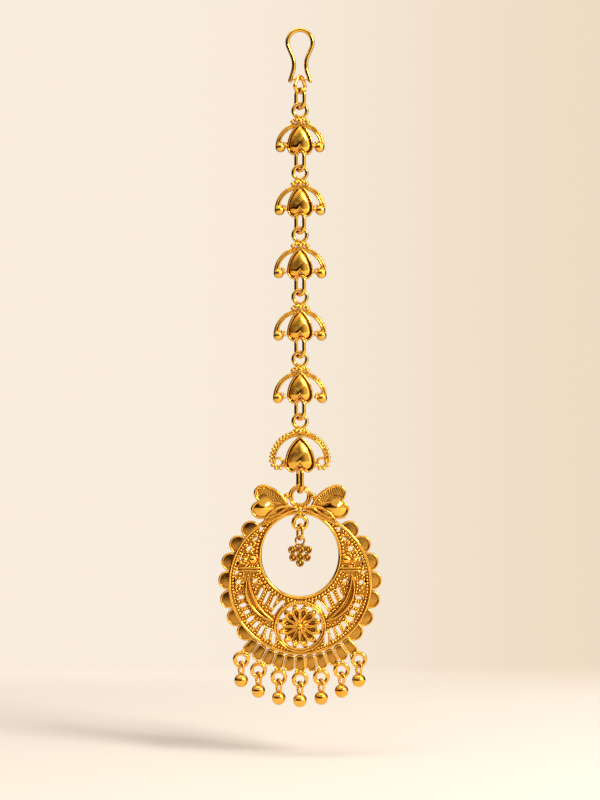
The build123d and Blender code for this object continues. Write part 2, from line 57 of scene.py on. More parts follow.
MM = 0.001
FULL_TURN = 2 * np.pi
AIM = (0, 0, -0.081)  # what the camera and the lights point at, in metres
FLOOR_FADE = (0.09, 0.17)  # metres behind the jewel between which the floor board fades out
FLOOR_EDGE = (0.45, 0.8)  # the same all round, as distances from the middle
FLOOR_DROP = 0.011  # from the lowest ball drop to the floor board
FLOOR_CORNERS = ((-2, -2), (2, -2), (2, 0.2), (-2, 0.2))
SOFTBOXES = (  # name, place, width and height in metres, power in watts
    ("key_softbox", (0.5, -0.42, 0.3), (0.24, 0.24), 5.2),
    ("side_softbox", (0.62, -0.2, 0.0), (0.08, 0.5), 0.5),
    ("top_softbox", (0.0, -0.1, 0.6), (0.7, 0.3), 2.0),
)
LAMP_TINT = "#FFF8EC"
CAMERA_BACK = 0.489  # metres from the camera to the jewel
LENS, SENSOR = 100, 36
PAINTED_SHADE_REACH = 0.8  # millimetres within which a neighbour paints shade into the metal's colour
WAVES = 3.2  # repeats of the wave texture in one unit of its scale

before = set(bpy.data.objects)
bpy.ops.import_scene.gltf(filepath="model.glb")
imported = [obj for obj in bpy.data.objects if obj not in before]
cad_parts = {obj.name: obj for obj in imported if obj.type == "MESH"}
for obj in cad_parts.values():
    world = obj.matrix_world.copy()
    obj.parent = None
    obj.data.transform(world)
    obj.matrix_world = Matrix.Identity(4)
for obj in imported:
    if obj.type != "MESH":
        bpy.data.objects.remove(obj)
CAD_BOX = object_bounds()

# ---- datums, in millimetres
PENDANT_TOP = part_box("pendant")[1].z / MM
BAIL_Z = PENDANT_TOP - 2.6
KNOT_Z = PENDANT_TOP - 5.4
CHARM_RING_Z = PENDANT_TOP - 8.3
BORDER_Z = PENDANT_TOP - 21.65
LEAVES = tuple(f"leaf_plaque_{index}" for index in range(1, 6))
REPLACED = (*LEAVES, "beaded_plaque", "pendant")
KEPT = tuple(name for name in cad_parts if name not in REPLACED)

# ---- shapes shared by the plaques
RING = (1.5, 0.4)  # radius and wire radius
HEART = (  # outline from the point to the notch, as shares of half width and length
    ((0, 0), (0.71, 0.33), (1, 0.75)),
    ((1, 0.75), (0.83, 0.925), (0.5, 1)),
    ((0.5, 1), (0.27, 0.93), (0, 0.775)),
)
WING_HEART = HEART[:2] + (((0.5, 1), (0.2, 0.955), (0, 0.86)),)
COLLAR = (  # x, height and radius of the solder grains under a ring
    (0.0, -2.28, 0.6),
    (0.82, -2.05, 0.5),
    (-0.8, -2.08, 0.5),
    (1.58, -2.45, 0.48),
    (-1.62, -2.48, 0.47),
    (0.42, -1.72, 0.32),
    (-0.45, -1.76, 0.3),
    (1.36, -1.9, 0.3),
    (-1.28, -1.96, 0.28),
)
END_BALL = 1.1
ARCH_WIRES = (  # inward of the arch's edge, wire radius, finish, depth
    (0.79, 0.25, "buffed", 0.2),
    (0.54, 0.24, "bed", -0.08),
    (0.32, 0.3, "buffed", 0.08),
)
PLAQUE_FINISHES = ("buffed", "cast", "granule", "engraved", "bed")
BALL_GRAINS = (  # inward of the end ball, height above it, radius
    (1.3, 0.22, 0.46),
    (0.78, 1.02, 0.27),
    (0.1, 1.2, 0.25),
    (1.32, 0.86, 0.25),
    (-0.42, 0.98, 0.22),
)

# ---- pierced work, right half
# Heights from here on are measured from the centre of the crescent's border.
OPENING_RISE = 6.15
OPENING = (8.45, 9.0)  # half width and half height
RIM = 0.77  # width of the rim round the opening
BORDER = 15.5  # radius of the border wire
OUTER_SLOTS = (  # polar angle below level, radius, length, slope below level
    (13.6, 13.45, 1.5, 8),
    (21.3, 13.45, 1.5, 17),
    (28.7, 13.45, 1.6, 27),
    (36.0, 13.5, 1.7, 38),
    (43.6, 13.5, 1.95, 50),
    (50.8, 13.45, 2.2, 62),
    (57.6, 13.25, 2.65, 75),
    (64.4, 13.4, 3.0, 89),
)
SLOT_WIDTH = 0.82
SLOT_EDGE = 0.15  # from a slot to the middle of the wire round it
BED_FRONT = 0.2  # the sunk plate, in front of the middle plane
GRAIN_FRONT = 0.3  # the granules on it
FLIPS = ((1, 1), (-1, 1))  # what a flat point is multiplied by on the right and on the left
INNER_SLOTS = (  # x, height, length, width; each leans outward at its foot
    (8.75, -2.3, 2.7, 0.6),
    (7.35, -3.2, 2.9, 0.6),
    (5.9, -4.15, 2.9, 0.65),
)
INNER_LEAN = 65
LOOSE_RAYS = ((9.55, -1.0), (10.1, 0.6), (3.5, -4.6))  # middles of the other rows as steep
CURVED_SLOT = (6.1, 6.95, 24, 57)  # inner and outer radius and angles, round the rosette
ROUND_HOLES = (  # x, height, radius
    (8.5, 11.9, 0.45),
    (9.9, 9.9, 0.5),
    (11.2, 7.6, 0.5),
    (13.3, 5.3, 0.4),
    (13.9, 2.4, 0.35),
    (13.5, 0.2, 0.45),
    (9.9, 0.5, 0.4),
)
BLADE = ((11.35, 1.9), (10.15, -4.6), (5.9, -8.2))
LEAF = ((0.5, 16.35), (4.5, 15.6), (8.2, 12.75))
BLADES = ((BLADE, 1.3, 0.95, 0.31), (LEAF, 1.9, 0.74, 0.28))  # swell, front, wire radius
BOSSES = ((10.3, 5.15, 1.0), (12.1, 5.05, 0.65), (12.0, 0.9, 0.5))  # x, height, radius
BARS = (2.75, 3.35)
BAR = (8.55, 13.45)  # from x to x
COIN_RING = 15.95  # from the border's centre to a coin's
COIN_RADIUS = 2.05
COIN_EDGE = 0.2  # radius of the wire round a coin
COIN_ANGLES = (43, 58, 73, 88, 103, 118, 132)  # degrees from the top
PETAL_ENDS = (  # arcs of the foot and of the head, and how many points each has
    ((1.2, -0.9), (0, -1.85), (-1.2, -0.9), 18),
    ((-1.02, 1.5), (0, 1.85), (1.02, 1.5), 10),
)
PETAL_EDGE = 0.18
PETAL_RING = 17.75
PETAL_COUNT = 11
PETAL_STEP = 7.6
ROSETTE_RISE = -9.55
ROSETTE_Z = BORDER_Z + ROSETTE_RISE
ROSETTE = (4.8, 5.75)  # inner and outer radius of the frame
FRAME_WIRES = (5.02, 5.28, 5.53)
ROSETTE_PETALS = 12
ROSETTE_PETAL = (  # arcs of a petal's outline, from its root round its tip
    ((0.3, -0.09), (1.8, -0.5), (3.1, -0.87), 9),
    ((3.1, -0.87), (3.7, -0.88), (4.2, -0.58), 7),
    ((4.2, -0.58), (4.8, 0.0), (4.2, 0.58), 11),
    ((4.2, 0.58), (3.7, 0.88), (3.1, 0.87), 7),
    ((3.1, 0.87), (1.8, 0.5), (0.3, 0.09), 9),
)
DROP_RINGS = (-37.5, -25.5, -12.7, 0, 12.7, 25.5, 37.5)  # degrees from straight down
DROP_ORBIT = 21.25
DROP_RING = (1.4, 0.45)
WING_POINT = (2.3, 16.85)
WING_TILT = 10
WING_SIZE = (8.3, 3.85)  # length and half width
WING_BOSS = (7.9, 16.95)
BAIL_WIRES = (2.31, 1.81)
CHARM_RING = (1.42, 0.475)
KNOT_BALLS = ((0, 0.6, 0.2), (-1.1, 0.42, 0.35))  # height, radius, depth
DROP_GRAINS = ((0, 0.5), (0.045, 0.34), (-0.045, 0.34))  # radians from a ring's middle, radius
KNOT_GRAINS = ((2.95, 19.25, 0.6), (3.4, 18.45, 0.6), (1.1, 16.65, 0.45))


# ---- colour and materials
def linear(code):
    """A linear RGB colour from an sRGB hex code."""
    values = [int(code[at : at + 2], 16) / 255 for at in (1, 3, 5)]
    return [v / 12.92 if v <= 0.04045 else ((v + 0.055) / 1.055) ** 2.4 for v in values]


def rgba(colour):
    """The same colour with full alpha."""
    return (*colour, 1.0)


def per_mm(size):
    """The texture scale at which one repeat has this size in millimetres."""
    return 1 / (size * MM)


def add(tree, kind, sockets=None, **settings):
    """Adds a node. Each socket gets a link if its value is another node's output."""
    made = tree.nodes.new(kind)
    for name, value in settings.items():
        setattr(made, name, value)
    for name, value in (sockets or {}).items():
        if isinstance(value, bpy.types.NodeSocket):
            tree.links.new(value, made.inputs[name])
        else:
            made.inputs[name].default_value = value
    return made


def cleared_tree(holder):
    """The node tree of a material or world, with nothing in it."""
    holder.use_nodes = True
    holder.node_tree.nodes.clear()
    return holder.node_tree


def remap(tree, value, low, high, start=0.0, end=1.0, kind="LINEAR"):
    """A value moved from one range to another and held at its ends."""
    ends = {"Value": value, "From Min": low, "From Max": high, "To Min": start, "To Max": end}
    return add(tree, "ShaderNodeMapRange", ends, interpolation_type=kind).outputs["Result"]


def ease(tree, value, low, high, start=0.0, end=1.0):
    """The same, leaving and reaching its ends gently."""
    return remap(tree, value, low, high, start, end, "SMOOTHSTEP")


def reckon(tree, operation, *values):
    """The result of a maths node."""
    return add(tree, "ShaderNodeMath", dict(enumerate(values)), operation=operation).outputs[0]


def blend(tree, share, first, second):
    """A colour between two others. In a colour mix node, sockets 6 and 7 are the colours."""
    return add(tree, "ShaderNodeMix", {0: share, 6: first, 7: second}, data_type="RGBA").outputs[2]


def gold(name, face, shade_and_patch, polish, grain, dent, lacquer, ruling=None):
    """A plated metal whose colour is darkened in recesses and between parts as painted shade, and
    in random patches. Grain and dent are the size and depth in millimetres of the unevenness left
    in its surface, and ruling is the pitch of engraved lines."""
    material = bpy.data.materials.new(name)
    tree = cleared_tree(material)
    place = add(tree, "ShaderNodeTexCoord").outputs["Object"]
    cloud = add(tree, "ShaderNodeTexNoise", {"Vector": place, "Scale": per_mm(2.4), "Detail": 2.0})
    skin = add(tree, "ShaderNodeTexNoise", {"Vector": place, "Scale": per_mm(grain), "Detail": 1.0})
    # painted shade: ambient occlusion darkens the base colour in recesses and between parts
    shade_probe = add(tree, "ShaderNodeAmbientOcclusion", {"Distance": PAINTED_SHADE_REACH * MM}, samples=8)
    patchy = remap(tree, cloud.outputs["Fac"], 0.35, 0.75, 0.0, 0.3)
    plate = blend(tree, patchy, rgba(face), rgba(shade_and_patch))
    unshaded = remap(tree, shade_probe.outputs["AO"], 0.3, 0.8)
    height = skin.outputs["Fac"]
    if ruling:
        waves = {"Vector": place, "Scale": per_mm(ruling) / WAVES, "Distortion": 0.8, "Detail": 1.0}
        lines = add(tree, "ShaderNodeTexWave", waves, bands_direction="DIAGONAL").outputs["Fac"]
        height = reckon(tree, "MULTIPLY_ADD", lines, 1.5, height)
    bump = add(tree, "ShaderNodeBump", {"Height": height, "Distance": dent * MM})
    metal = {
        # painted shade: where little is open round a point, the colour goes over to the shade
        # colour
        "Base Color": blend(tree, unshaded, rgba(shade_and_patch), plate),
        "Metallic": 1.0,
        "Roughness": remap(tree, skin.outputs["Fac"], 0.3, 0.7, polish * 0.75, polish * 1.3),
        "Normal": bump.outputs["Normal"],
        "Coat Weight": lacquer,
        "Coat Roughness": 0.1,
    }
    shader = add(tree, "ShaderNodeBsdfPrincipled", metal)
    add(tree, "ShaderNodeOutputMaterial", {"Surface": shader.outputs["BSDF"]})
    return material


def make_golds():
    """The finishes of the jewel, each named for its metal and its surface; some colours are darker
    copies that paint in shade.
    """
    finish = bpy.context.scene.tikka_finish
    face, shade_and_patch = finish.plate_colour, finish.shade_and_patch_colour
    satin, bed = finish.shaded_coin_colour, finish.shaded_bed_colour
    # painted shade: a darker copy of the satin colour for the rosette's hollows
    shaded_satin = [share * 0.6 for share in satin]
    return {
        # drawn wire and spun balls, plated and buffed: near-mirror with crisp dark and pale bands
        "buffed": gold("buffed_gold_plated_brass", face, shade_and_patch, 0.08, 2.5, 0.004, 0.1),
        # cast, plated and tumbled: a slightly uneven skin that breaks reflections up
        "cast": gold("tumbled_cast_gold_plated_brass", face, shade_and_patch, 0.18, 0.9, 0.03, 0.15),
        # fused granules: small bright tops with deep gaps between them
        "granule": gold("granulated_gold_plated_brass", face, shade_and_patch, 0.19, 1.2, 0.015, 0.2),
        # the sunk bed under the granules, in a warmer, darker copy of the plate colour: painted
        # shade
        "bed": gold("recessed_gold_plated_brass", bed, shade_and_patch, 0.34, 0.7, 0.03, 0.05),
        # the sunk hollows of the rosette, in a darker copy of the satin colour that reads as dark
        # drops: painted shade
        "dark": gold("shaded_hollow_gold_plated_brass", shaded_satin, shaded_satin, 0.16, 0.9, 0.01, 0.3),
        # rolled and satin-brushed plate: flat fields with a broad, dim sheen, their colour a
        # darker, more olive copy of the plate colour as painted shade
        "satin": gold("satin_brushed_gold_plated_brass", satin, shade_and_patch, 0.2, 1.2, 0.012, 0.1),
        # needle-engraved field, its lines coarser than life so that they can be seen
        "engraved": gold("engraved_gold_plated_brass", face, shade_and_patch, 0.3, 0.8, 0.01, 0.1, 0.27),
    }


def golds():
    """The finishes, made once and then found again by name."""
    scene = bpy.context.scene
    if "tikka_golds" not in scene:
        scene["tikka_golds"] = {key: made.name for key, made in make_golds().items()}
    return {key: bpy.data.materials[name] for key, name in scene["tikka_golds"].items()}


# ---- mesh tools
class Piece:
    """Collects the points and faces of one mesh, in millimetres, with a finish for each face."""

    def __init__(self, finishes):
        self.finishes = finishes
        self.points, self.faces, self.marks = [], [], []
        self.count = 0

    def put(self, points, faces, finish):
        points = np.asarray(points, float).reshape(-1, 3)
        self.points.append(points)
        self.faces.extend([tuple(int(i) + self.count for i in face) for face in faces])
        self.marks.extend([self.finishes.index(finish)] * len(faces))
        self.count += len(points)

    def make(self, name, body, *replaces):
        mesh = bpy.data.meshes.new(name)
        mesh.from_pydata(np.concatenate(self.points) * MM, [], self.faces)
        for finish in self.finishes:
            mesh.materials.append(golds()[finish])
        mesh.polygons.foreach_set("material_index", self.marks)
        mesh.polygons.foreach_set("use_smooth", [True] * len(self.faces))
        mesh.update()
        made = bpy.data.objects.new(name, mesh)
        bpy.context.scene.collection.objects.link(made)
        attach(made, body)
        if replaces:
            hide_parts(*replaces)


def polar(angles, radius, centre=(0, 0)):
    """Flat points at these angles, in radians, round a centre. The radius may be an ellipse's
    half width and half height."""
    return np.stack([np.cos(angles), np.sin(angles)], -1) * radius + centre


def arc(start, middle, end, count):
    """Points on the circle through three points, from the first to the last."""
    (ax, az), (bx, bz), (cx, cz) = start, middle, end
    double = 2 * (ax * (bz - cz) + bx * (cz - az) + cx * (az - bz))
    a2, b2, c2 = ax * ax + az * az, bx * bx + bz * bz, cx * cx + cz * cz
    x = (a2 * (bz - cz) + b2 * (cz - az) + c2 * (az - bz)) / double
    z = (a2 * (cx - bx) + b2 * (ax - cx) + c2 * (bx - ax)) / double
    turns = [np.arctan2(pz - z, px - x) for px, pz in (start, middle, end)]
    sweep = (turns[2] - turns[0]) % FULL_TURN
    if (turns[1] - turns[0]) % FULL_TURN > sweep:
        sweep -= FULL_TURN
    return polar(turns[0] + np.linspace(0, sweep, count), np.hypot(ax - x, az - z), (x, z))


def oval(x, z, half_width, half_height, count=120):
    """Points round an ellipse."""
    around = np.linspace(0, FULL_TURN, count, endpoint=False)
    return polar(around, (half_width, half_height), (x, z))


def circle(x, z, radius, count):
    """Points round a circle."""
    return oval(x, z, radius, radius, count)


def slot_line(x, z, length, width, turn, margin=0.0):
    """Points round a slot with round ends, turned by degrees from level. A margin makes it larger
    all round."""
    half, radius = length / 2 - width / 2, width / 2 + margin
    ends = []
    for side, start in ((1, -90), (-1, 90)):
        angles = np.radians(start + np.linspace(0, 180, 8))
        ends.append(polar(angles, radius, (side * half, 0)))
    return turned(np.concatenate(ends), turn) + (x, z)


def turned(points, degrees):
    """Flat points turned round the origin."""
    angle = np.radians(degrees)
    c, s = np.cos(angle), np.sin(angle)
    points = np.asarray(points, float)
    return points @ np.array([[c, s], [-s, c]])


def joined(parts):
    """Points along arcs that follow one another, each given as (start, middle, end, count)."""
    return np.concatenate([*(arc(*part)[:-1] for part in parts), [parts[-1][2]]])


def heart_line(length, width, parts=HEART, count=12):
    """A closed heart outline, its point at the origin and its lobes below."""
    right = joined([(*[(x * width, -z * length) for x, z in part], count) for part in parts])
    return np.concatenate([right, right[1:-1][::-1] * (-1, 1)])


def leftward(line, closed=False):
    """A unit vector to the left of a flat line at each of its points."""
    along = np.roll(line, -1, 0) - np.roll(line, 1, 0) if closed else np.gradient(line, axis=0)
    along /= np.linalg.norm(along, axis=1)[:, None] + 1e-9
    return np.stack([-along[:, 1], along[:, 0]], 1)


def offset_line(line, amount):
    """An open flat line moved to its left by an amount."""
    return line + leftward(line) * amount


def heading(outline):
    """1 if a closed outline runs anticlockwise, else -1."""
    x, z = outline.T
    return np.sign(np.sum(x * np.roll(z, -1) - np.roll(x, -1) * z))


def inset(outline, amount):
    """A closed outline moved inward by an amount."""
    return outline + leftward(outline, closed=True) * amount * heading(outline)


def tube_faces(rows, sides, first=0, closed=False):
    """Faces that join rings of points to one another, each ring with this many sides."""
    faces = []
    for i in range(rows if closed else rows - 1):
        a, b = first + i * sides, first + (i + 1) % rows * sides
        for j in range(sides):
            k = (j + 1) % sides
            faces.append((a + j, a + k, b + k, b + j))
    return faces


def upright(line, y):
    """A flat line's points in space, at one y or at one for each point."""
    return np.stack([line[:, 0], np.broadcast_to(y, len(line)), line[:, 1]], 1)


def wire(piece, line, radius, depth=0.0, finish="buffed", closed=False, sides=10, flat=1.0):
    """A wire along a flat line. Its depth is how far its middle stands in front of the middle
    plane, and flat squeezes it from front to back. Radius and depth may change along it."""
    line = np.asarray(line, float)
    count = len(line)
    radius, depth = np.broadcast_to(radius, count), np.broadcast_to(depth, count)
    across = leftward(line, closed)
    angle = np.linspace(0, FULL_TURN, sides, endpoint=False)
    out = np.cos(angle)[None, :, None] * across[:, None, :] * radius[:, None, None]
    loops = line[:, None, :] + out
    front = -depth[:, None] - np.sin(angle)[None, :] * radius[:, None] * flat
    points = upright(loops.reshape(-1, 2), front.ravel())
    faces = tube_faces(count, sides, closed=closed)
    if not closed:
        faces.append(tuple(range(sides))[::-1])
        faces.append(tuple((count - 1) * sides + j for j in range(sides)))
    piece.put(points, faces, finish)


def unit_ball(rings, segments):
    """Points and faces of a ball of radius 1."""
    around = polar(FULL_TURN * np.arange(segments) / segments, 1)
    slices = [upright(np.sin(a) * around, -np.cos(a)) for a in np.pi * np.arange(1, rings) / rings]
    points = np.concatenate([[(0, -1, 0)], *slices, [(0, 1, 0)]])
    faces = [(0, 1 + (j + 1) % segments, 1 + j) for j in range(segments)]
    faces += tube_faces(rings - 1, segments, first=1)
    last, a = len(points) - 1, 1 + (rings - 2) * segments
    faces += [(last, a + j, a + (j + 1) % segments) for j in range(segments)]
    return points, faces


# balls for small grains, for larger beads and for the end balls and bosses
GRAIN = unit_ball(6, 10)
BEAD = unit_ball(10, 16)
BALL = unit_ball(20, 32)


def grains(piece, places, radius, finish="granule", depth=0.0, ball=GRAIN):
    """A ball at each flat place; radius and depth may be one value or one for each place."""
    places = np.asarray(places, float).reshape(-1, 2)
    radius, depth = (np.broadcast_to(each, len(places)) for each in (radius, depth))
    points, faces = ball
    for (x, z), r, d in zip(places, radius, depth):
        piece.put(points * r + (x, -d, z), faces, finish)


def along_line(line, pitch, closed=False):
    """Evenly spaced places along a flat line, about one pitch apart."""
    line = np.asarray(line, float)
    if closed:
        line = np.concatenate([line, line[:1]])
    steps = np.r_[0, np.cumsum(np.linalg.norm(np.diff(line, axis=0), axis=1))]
    count = max(2, int(round(steps[-1] / pitch)) + (0 if closed else 1))
    at = np.linspace(0, steps[-1], count, endpoint=not closed)
    return np.stack([np.interp(at, steps, line[:, 0]), np.interp(at, steps, line[:, 1])], 1)


def relief(piece, outline, middle, shares, height, back, finish, mark=None):
    """A closed cast form over an outline that its middle can see all of. The shares run from
    middle to edge, and height(share, x, z) is how far the face stands in front. The mark may
    give some faces another finish."""
    count = len(outline)
    apex = np.array([middle], float)
    rings = []
    for share in (0.0, *shares):
        loop = apex + share * (outline - apex) if share else apex
        rings.append(upright(loop, -height(share, *loop.T)))
    points = np.concatenate([*rings, upright(outline, back), upright(apex, back)])
    pairs = [(j, (j + 1) % count) for j in range(count)]
    faces = [(0, 1 + j, 1 + k) for j, k in pairs]
    for i in range(len(shares)):
        a, b = 1 + i * count, 1 + (i + 1) * count
        faces += [(a + j, b + j, b + k, a + k) for j, k in pairs]
    last, a = len(points) - 1, 1 + len(shares) * count
    faces += [(last, a + k, a + j) for j, k in pairs]
    if heading(outline) < 0:
        faces = [face[::-1] for face in faces]
    piece.put(points, faces, finish)
    first = len(piece.marks) - len(faces)
    for number, face in enumerate(faces if mark else ()):
        x, y, z = points[list(face)].mean(0)
        other = mark(x, z, y)
        if other:
            piece.marks[first + number] = piece.finishes.index(other)


def pierced(name, outer, holes, front, back, edge):
    """Points and faces of a flat plate with holes, its edges eased by a small bevel."""
    curve = bpy.data.curves.new(name, "CURVE")
    curve.dimensions = "2D"
    curve.fill_mode = "BOTH"
    curve.extrude = (front + back) / 2 - edge
    curve.bevel_depth = edge
    curve.bevel_resolution = 1
    curve.offset = -edge
    for line in [outer, *holes]:
        spline = curve.splines.new("POLY")
        spline.points.add(len(line) - 1)
        spline.points.foreach_set("co", np.c_[line, [(0, 1)] * len(line)].ravel())
        spline.use_cyclic_u = True
    holder = bpy.data.objects.new(name, curve)
    bpy.context.scene.collection.objects.link(holder)
    bpy.context.view_layer.update()
    mesh = bpy.data.meshes.new_from_object(holder)
    bpy.data.objects.remove(holder)
    flat = np.array([v.co for v in mesh.vertices])
    faces = [tuple(p.vertices) for p in mesh.polygons]
    bpy.data.meshes.remove(mesh)
    return upright(flat[:, :2], -flat[:, 2] + (back - front) / 2), faces


def ring(piece, x, z, radius, thick, depth=0.0, count=44, sides=12):
    """A round wire ring that faces the front."""
    wire(piece, circle(x, z, radius, count), thick, depth, closed=True, sides=sides)


# ---- plaques
def puffed_heart(piece, top, length, width):
    """A heart leaf: a wire rim, a dark groove and a puffed teardrop, its upper left engraved."""
    outline = heart_line(length, width) + (0, top)
    centre = top - 0.6 * length
    groove, rim = 0.87, 0.95  # shares of the way to the edge at which they start

    def height(share, x, z):
        if share > groove:
            return np.full_like(x, 0.3 if share > rim else 0.12)
        down = (top - z) / length
        reach = width * (1 - np.clip(1 - down / 0.75, 0, 1) ** 2) + 0.25
        across = np.sqrt(np.clip(1 - (x / reach) ** 2, 0, 1))
        along = np.sqrt(np.clip(1 - ((z - centre) / (0.62 * length)) ** 2, 0, 1))
        return 0.2 + 1.08 * across * along * (1 - (share / (groove - 0.01)) ** 6)

    def engraved(x, z, y):
        upper = z - centre > 0.9 * (x + 0.15) and z > centre - 0.1 * length
        return "engraved" if upper and y < -0.5 else None

    shares = [*np.linspace(0.05, 0.855, 26), 0.88, 0.93, 1.0]
    relief(piece, outline, (0, centre), shares, height, 0.4, "buffed", engraved)
    wire(piece, inset(outline, 0.2), 0.24, 0.42, closed=True)
    foot = top - 0.965 * length
    lip = arc((-0.98, foot), (0, top - 0.75 * length), (0.98, foot), 14)
    wire(piece, lip, 0.21, 0.62)


def collar(piece, base, rng):
    """The top ring and the irregular solder grains that carry it."""
    ring(piece, 0, base, *RING, count=52, sides=14)
    for x, height, radius in COLLAR:
        place = rng.uniform(-0.05, 0.05, 2) + (x, base + height)
        ball = BALL if radius > 0.4 else GRAIN
        radius *= rng.uniform(0.94, 1.06)
        grains(piece, [place], radius, "buffed", rng.uniform(0.1, 0.2), ball)


def arch(piece, z, radius):
    """The arch over a heart: a smooth inner wire, a sunk band and an outer wire."""
    angles = np.radians(np.linspace(0, 180, 72))
    for inward, thick, finish, depth in ARCH_WIRES:
        wire(piece, polar(angles, radius - inward, (0, z)), thick, depth, finish)


def leaf_plaque(piece, base, width, rng):
    """One leaf plaque, from its ring down, with its end balls."""
    arch_z = base - 2.6 - width
    puffed_heart(piece, base - 2.5, 7.3, 2.85)
    arch(piece, arch_z, width)
    collar(piece, base, rng)
    for angle in np.radians(np.arange(10, 72, 5.5)):
        place = polar(angle + rng.uniform(-0.02, 0.02), width - 0.1, (0, arch_z))
        grains(piece, [place], rng.uniform(0.2, 0.3), depth=0.15)
    for side in (1, -1):
        x = side * (width - END_BALL)
        grains(piece, [(x, arch_z - 0.05)], END_BALL, "buffed", 0, BALL)
        for inward, above, radius in BALL_GRAINS:
            grains(piece, [(x - side * inward, arch_z + above)], radius, "cast", 0.15, BEAD)


class TIKKA_OT_leaf_plaques(bpy.types.Operator):
    """Build the five leaf plaques of the chain"""

    bl_idname = "tikka.leaf_plaques"
    bl_label = "Leaf plaques"

    def execute(self, context):
        for index, node in enumerate(LEAVES):
            low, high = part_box(node)
            piece = Piece(PLAQUE_FINISHES)
            rng = np.random.RandomState(20 + index)
            leaf_plaque(piece, high.z / MM - sum(RING), (high.x - low.x) / 2 / MM, rng)
            piece.make(f"{node}_relief", "chain", node)
        return {"FINISHED"}


class TIKKA_OT_beaded_plaque(bpy.types.Operator):
    """Build the larger plaque with its beaded arch and scrolls"""

    bl_idname = "tikka.beaded_plaque"
    bl_label = "Beaded plaque"

    def execute(self, context):
        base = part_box("beaded_plaque")[1].z / MM - sum(RING)
        piece = Piece(PLAQUE_FINISHES)
        radius, middle = 6.4, (0, base - 8.7)
        puffed_heart(piece, base - 3.15, 8.15, 3.35)
        arch(piece, middle[1], radius)
        collar(piece, base, np.random.RandomState(31))
        beads = polar(np.radians(np.arange(0, 80, 8)), radius, middle)
        seeds = polar(np.radians(np.arange(4, 72, 8)), radius - 0.55, middle)
        scroll = np.array((4.75, base - 9.0))
        cluster = polar(np.radians(np.arange(-28, -190, -40)), 1.45, scroll)
        for flip in FLIPS:
            grains(piece, beads * flip, 0.43, depth=0.1, ball=BEAD)
            grains(piece, seeds * flip, 0.22, depth=0.26)
            grains(piece, cluster * flip, 0.44, ball=BEAD)
            grains(piece, (scroll + (0.95, 0.2)) * flip, 0.4, depth=0.1, ball=BEAD)
            ring(piece, *scroll * flip, 0.95, 0.29, 0.05, 30)
        piece.make("beaded_plaque_relief", "chain", "beaded_plaque")
        return {"FINISHED"}


# ---- pendant
def mirrored(table):
    """Each row of a table for the right side and for the left: (side, row)."""
    return [(side, row) for row in table for side in (1, -1)]


def both_sides(table):
    """Each (x, height, radius) of a table on the right side and on the left."""
    return [(side * x, height, radius) for side, (x, height, radius) in mirrored(table)]


def outer_middle(angle, radius):
    """The centre of an outer slot, from its angle below level."""
    return polar(np.radians(-angle), radius)


def slot_places():
    """(x, height, length, width, turn) of every straight slot of the crescent."""
    made = []
    for side, (angle, radius, length, slope) in mirrored(OUTER_SLOTS):
        x, height = outer_middle(angle, radius)
        made.append((side * x, height, length, SLOT_WIDTH, -side * slope))
    for side, (x, height, length, width) in mirrored(INNER_SLOTS):
        made.append((side * x, height, length, width, -side * INNER_LEAN))
    return made


def curved_slot(margin):
    """Outline of the slot that hugs the rosette's frame, made larger by a margin."""
    inner, outer, first, last = CURVED_SLOT
    spread = np.degrees(margin / inner)
    bow = polar(np.radians(np.linspace(first - spread, last + spread, 14)), 1)
    edges = [bow * (inner - margin), bow[::-1] * (outer + margin)]
    return np.concatenate(edges) + (0, ROSETTE_RISE)


def lift(points):
    """Moves flat points from the border's centre to their real height."""
    return np.asarray(points, float) + (0, BORDER_Z)


def hanging(angle, radius):
    """The place at an angle in radians from straight below the border's centre."""
    return np.array((radius * np.sin(angle), BORDER_Z - radius * np.cos(angle)))


class TIKKA_OT_pierced_plate(bpy.types.Operator):
    """Build the crescent's pierced plate with its border wire, opening rim and cross bars"""

    bl_idname = "tikka.pierced_plate"
    bl_label = "Pierced crescent"

    def execute(self, context):
        piece = Piece(("bed", "buffed"))
        rim = oval(0, OPENING_RISE, *(half + RIM / 2 for half in OPENING))
        border = circle(0, 0, BORDER, 180)
        holes = [rim, circle(0, ROSETTE_RISE, ROSETTE[0] + 0.3, 72)]
        holes += [slot_line(*place) for place in slot_places()]
        holes += [circle(*hole, 16) for hole in both_sides(ROUND_HOLES)]
        holes += [curved_slot(0.0) * flip for flip in FLIPS]
        points, faces = pierced("crescent", border, holes, BED_FRONT, 0.5, 0.06)
        piece.put(points + (0, 0, BORDER_Z), faces, "bed")
        wire(piece, lift(rim), RIM / 2, 0.14, closed=True, sides=16, flat=1.55)
        wire(piece, lift(border), 0.36, 0.3, closed=True, sides=14)
        for side, height in mirrored(BARS):
            line = lift([(side * x, height) for x in BAR])
            wire(piece, along_line(line, 1.0), 0.22, 0.5)
        edges = [slot_line(*place, SLOT_EDGE) for place in slot_places()]
        edges += [curved_slot(SLOT_EDGE) * flip for flip in FLIPS]
        for edge in edges:
            wire(piece, lift(edge), 0.16, 0.3, closed=True, sides=8, flat=1.6)
        for x, height, radius in both_sides(ROUND_HOLES):
            ring(piece, *lift((x, height)), radius + 0.14, 0.15, 0.36, 20, 8)
        piece.make("pendant_pierced_plate", "pendant", "pendant")
        return {"FINISHED"}


def far_from(places, line, margin):
    """Whether each place is further than a margin from every point of a line."""
    return np.linalg.norm(places[:, None] - line, axis=2).min(axis=1) > margin


